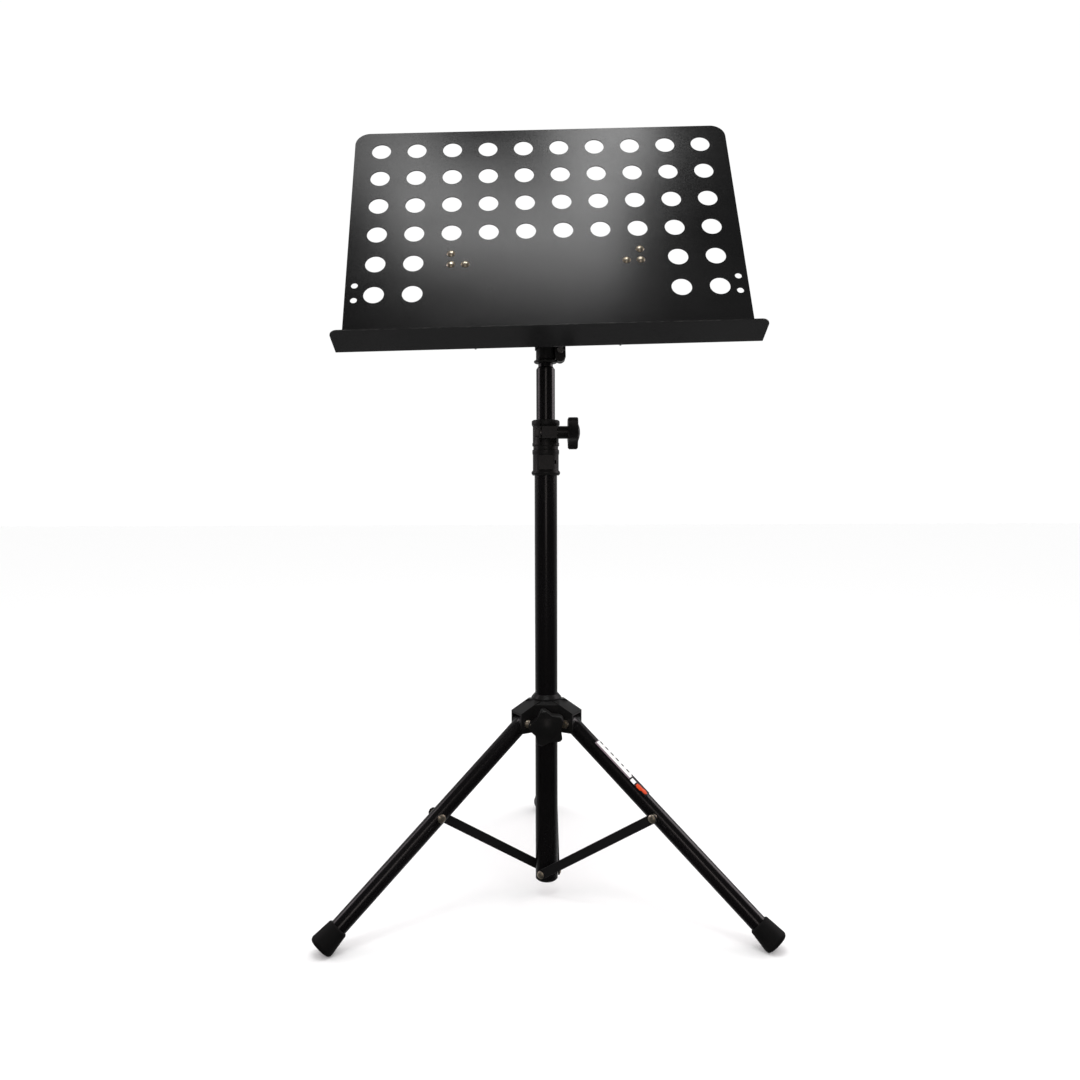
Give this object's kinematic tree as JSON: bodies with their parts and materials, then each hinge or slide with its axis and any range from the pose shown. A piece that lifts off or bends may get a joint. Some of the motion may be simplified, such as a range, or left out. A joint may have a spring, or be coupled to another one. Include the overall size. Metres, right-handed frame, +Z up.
{
  "type": "music stand",
  "caption": "Folding music stand: a perforated sheet-metal desk with a music ledge tilts on a telescoping mast, carried by a three-leg base that folds up along the lower tube.",
  "frame": {"origin": "on the floor, below the middle of the open stand's bounding box; the mast's axis stands at x = 0, y = -73.0 mm", "axes": "+Z up along the mast, -Y towards the player, +X to the right as the player faces the desk, one leg towards +Y"},
  "size_m": [0.524, 0.4578, 0.9865],
  "materials": {
    "desk_paint": "satin powder coat",
    "tube_paint": "gloss enamel",
    "strip_paint": "satin enamel",
    "black_plastic": "fine moulded texture",
    "knob_plastic": "fine moulded texture",
    "black_rubber": "matte",
    "zinc_steel": "bright zinc plate",
    "warm_nickel": "bright nickel plate",
    "brass": "turned",
    "grey_nylon": "smooth"
  },
  "bodies": {
    "column": {"column_tube": "tube_paint", "base_plug": "black_plastic", "base_rivets": "warm_nickel", "column_sleeve": "black_plastic", "clutch_bush": "black_plastic", "clamp_collar": "black_plastic", "clamp_nut": "strip_paint"},
    "mast": {"mast_tube": "tube_paint", "mast_bush": "grey_nylon"},
    "head": {"head_clamp": "black_plastic", "pinch_nut": "zinc_steel"},
    "tilt_knob": {"tilt_knob_head": "knob_plastic", "tilt_knob_stud": "zinc_steel"},
    "desk": {"desk_plate": "desk_paint", "bracket_left": "desk_paint", "bracket_right": "desk_paint", "tilt_bar": "zinc_steel", "desk_rivets": "warm_nickel"},
    "height_knob": {"height_knob_head": "knob_plastic", "height_knob_stud": "zinc_steel"},
    "hub": {"hub_body": "black_plastic", "hub_insert": "brass", "pivot_bolts": "warm_nickel", "pivot_nuts": "warm_nickel"},
    "hub_knob": {"hub_knob_head": "knob_plastic", "hub_knob_stud": "zinc_steel"},
    "leg_right": {"leg_tube_right": "tube_paint", "leg_end_right": "tube_paint", "foot_right": "black_rubber", "leg_rivet_right": "warm_nickel"},
    "leg_left": {"leg_tube_left": "tube_paint", "leg_end_left": "tube_paint", "foot_left": "black_rubber", "leg_rivet_left": "warm_nickel"},
    "leg_rear": {"leg_tube_rear": "tube_paint", "leg_end_rear": "tube_paint", "foot_rear": "black_rubber", "leg_rivet_rear": "warm_nickel"},
    "brace_right": {"brace_strip_right": "strip_paint", "brace_rivet_right": "warm_nickel"},
    "brace_left": {"brace_strip_left": "strip_paint", "brace_rivet_left": "warm_nickel"},
    "brace_rear": {"brace_strip_rear": "strip_paint", "brace_rivet_rear": "warm_nickel"}
  },
  "joints": [
    {"name": "mast_slide", "type": "slide", "parent": "column", "child": "mast", "axis": [0, 0, 1], "range_m": [-0.06, 0.34]},
    {"name": "head_swivel", "type": "hinge", "parent": "mast", "child": "head", "pos_m": [0, -0.07303, 0.6625], "axis": [0, 0, 1], "continuous": true},
    {"name": "desk_tilt", "type": "hinge", "parent": "head", "child": "desk", "pos_m": [0, -0.07303, 0.6937], "axis": [0.9997, 0, 0.0262], "range_deg": [-63, 40]},
    {"name": "tilt_knob_turn", "type": "hinge", "parent": "head", "child": "tilt_knob", "pos_m": [0.01783, -0.05703, 0.68136], "axis": [0, 1, 0], "range_deg": [0, 720]},
    {"name": "height_knob_turn", "type": "hinge", "parent": "column", "child": "height_knob", "pos_m": [0.0337, -0.09253, 0.5807], "axis": [1, 0, 0], "range_deg": [0, 720]},
    {"name": "hub_slide", "type": "slide", "parent": "column", "child": "hub", "axis": [0, 0, 1], "range_m": [0, 0.12968]},
    {"name": "hub_knob_turn", "type": "hinge", "parent": "hub", "child": "hub_knob", "pos_m": [0, -0.10643, 0.2245], "axis": [0, -1, 0], "range_deg": [0, 720]},
    {"name": "leg_right_fold", "type": "hinge", "parent": "hub", "child": "leg_right", "pos_m": [0.02936, -0.08998, 0.2245], "axis": [0.5, 0.866, 0], "range_deg": [0, 50.05]},
    {"name": "leg_left_fold", "type": "hinge", "parent": "hub", "child": "leg_left", "pos_m": [-0.02936, -0.08998, 0.2245], "axis": [0.5, -0.866, 0], "range_deg": [0, 50.05]},
    {"name": "leg_rear_fold", "type": "hinge", "parent": "hub", "child": "leg_rear", "pos_m": [0, -0.03913, 0.2245], "axis": [-1, 0, 0], "range_deg": [0, 50.05]},
    {"name": "brace_right_fold", "type": "hinge", "parent": "column", "child": "brace_right", "pos_m": [0, -0.07303, 0.0282], "axis": [-0.5, -0.866, 0], "range_deg": [0, 45.28]},
    {"name": "brace_left_fold", "type": "hinge", "parent": "column", "child": "brace_left", "pos_m": [0, -0.07303, 0.0282], "axis": [-0.5, 0.866, 0], "range_deg": [0, 45.28]},
    {"name": "brace_rear_fold", "type": "hinge", "parent": "column", "child": "brace_rear", "pos_m": [0, -0.07303, 0.0282], "axis": [1, 0, 0], "range_deg": [0, 45.28]}
  ],
  "couplings": [
    {"joint": "leg_right_fold", "follows": "hub_slide", "rad_per_m": 6.7291},
    {"joint": "leg_left_fold", "follows": "hub_slide", "rad_per_m": 6.7291},
    {"joint": "leg_rear_fold", "follows": "hub_slide", "rad_per_m": 6.7291},
    {"joint": "brace_right_fold", "follows": "hub_slide", "rad_per_m": 6.0867},
    {"joint": "brace_left_fold", "follows": "hub_slide", "rad_per_m": 6.0867},
    {"joint": "brace_rear_fold", "follows": "hub_slide", "rad_per_m": 6.0867}
  ]
}
